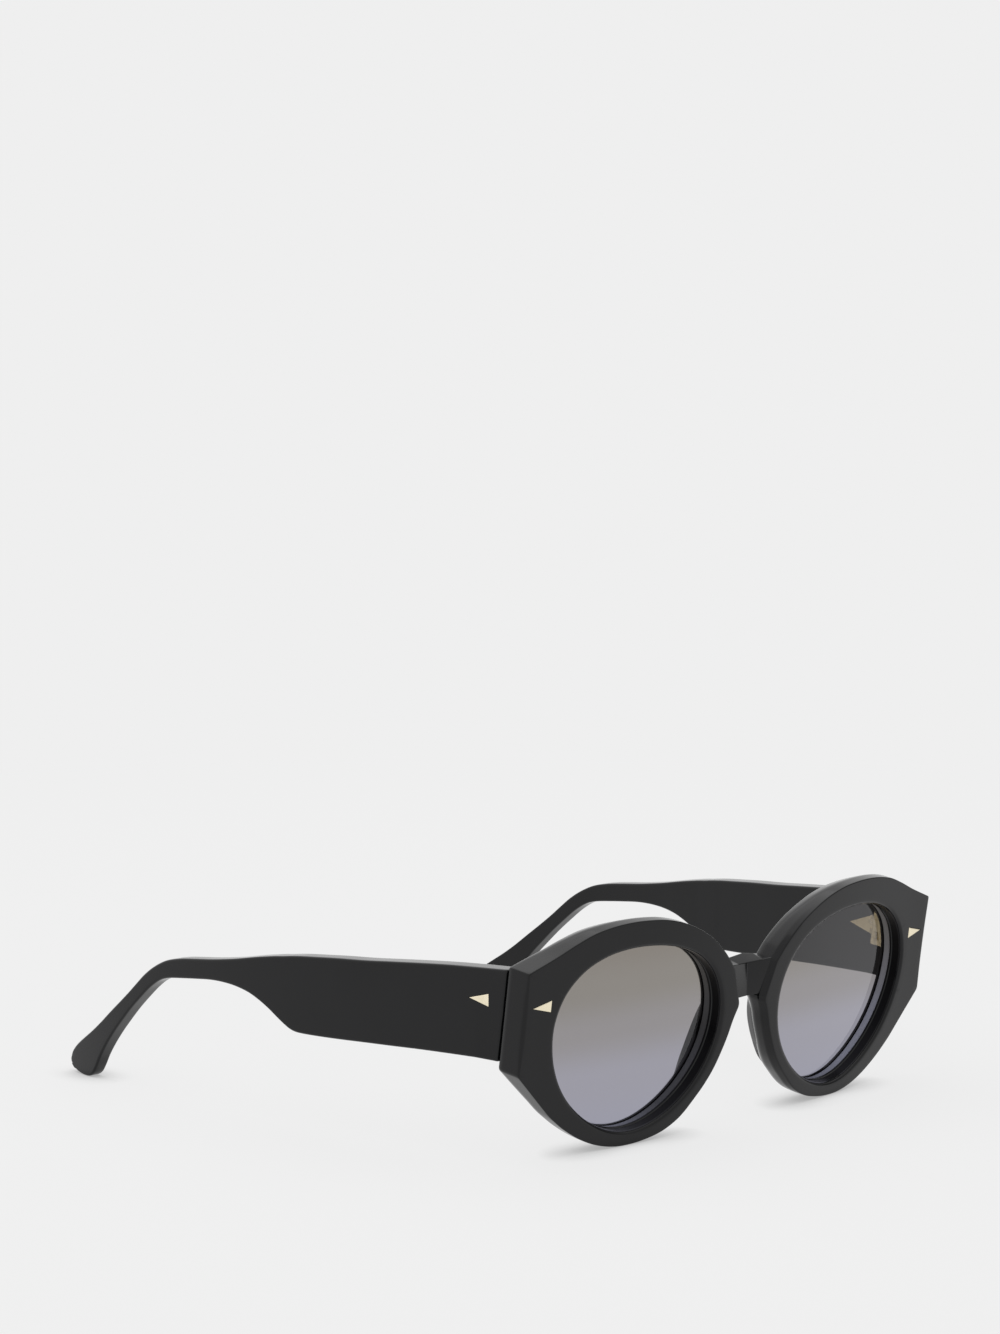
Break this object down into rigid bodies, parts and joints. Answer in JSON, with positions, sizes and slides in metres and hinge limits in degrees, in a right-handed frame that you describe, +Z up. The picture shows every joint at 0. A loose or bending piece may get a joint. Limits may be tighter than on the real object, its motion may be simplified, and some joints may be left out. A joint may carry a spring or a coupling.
{
  "type": "sunglasses",
  "caption": "Folding cat eye sunglasses: thick acetate front with tinted oval lenses and built-up nose pads, deep acetate temples on riveted leaf hinges.",
  "frame": {"origin": "centre of the bounding box's underside: the middle of the table contact of the open sunglasses, on the mirror plane", "axes": "+Z up with the sunglasses standing open on the bottoms of both rims and both temple tips, +Y from the front of the sunglasses to the temple tips, so the front faces -Y and the wearer looks along -Y; +X is the wearer's left; X = 0 is the mirror plane"},
  "size_m": [0.1474, 0.1514, 0.0505],
  "materials": {
    "acetate_front": "black acetate, tumbled to a soft gloss",
    "acetate_temples": "black acetate, tumbled to a soft gloss",
    "acetate_pads": "black acetate, polished",
    "lens": "grey-brown tint, darker at the top, polished",
    "hinge_metal": "pale gold plating, satin",
    "rivet_metal": "pale gold plating, polished",
    "screw_steel": "machined steel",
    "core_wire": "drawn nickel silver wire, matte"
  },
  "bodies": {
    "front": {"frame_front": "acetate_front", "lens_left": "lens", "lens_right": "lens", "nose_pad_left": "acetate_pads", "nose_pad_right": "acetate_pads", "hinge_front_leaf_left": "hinge_metal", "hinge_front_leaf_right": "hinge_metal", "hinge_screw_left": "screw_steel", "hinge_screw_right": "screw_steel", "front_rivet_left": "rivet_metal", "front_rivet_right": "rivet_metal"},
    "temple_left_arm": {"temple_left": "acetate_temples", "core_wire_left": "core_wire", "hinge_temple_leaf_left": "hinge_metal", "temple_rivet_left": "rivet_metal"},
    "temple_right_arm": {"temple_right": "acetate_temples", "core_wire_right": "core_wire", "hinge_temple_leaf_right": "hinge_metal", "temple_rivet_right": "rivet_metal"}
  },
  "joints": [
    {"name": "temple_fold_left", "type": "hinge", "parent": "front", "child": "temple_left_arm", "pos_m": [0.061, -0.06076, 0.03416], "axis": [0, -0.1386, 0.9904], "range_deg": [0, 84]},
    {"name": "temple_fold_right", "type": "hinge", "parent": "front", "child": "temple_right_arm", "pos_m": [-0.061, -0.06076, 0.03416], "axis": [0, 0.1386, -0.9904], "range_deg": [0, 94]}
  ]
}
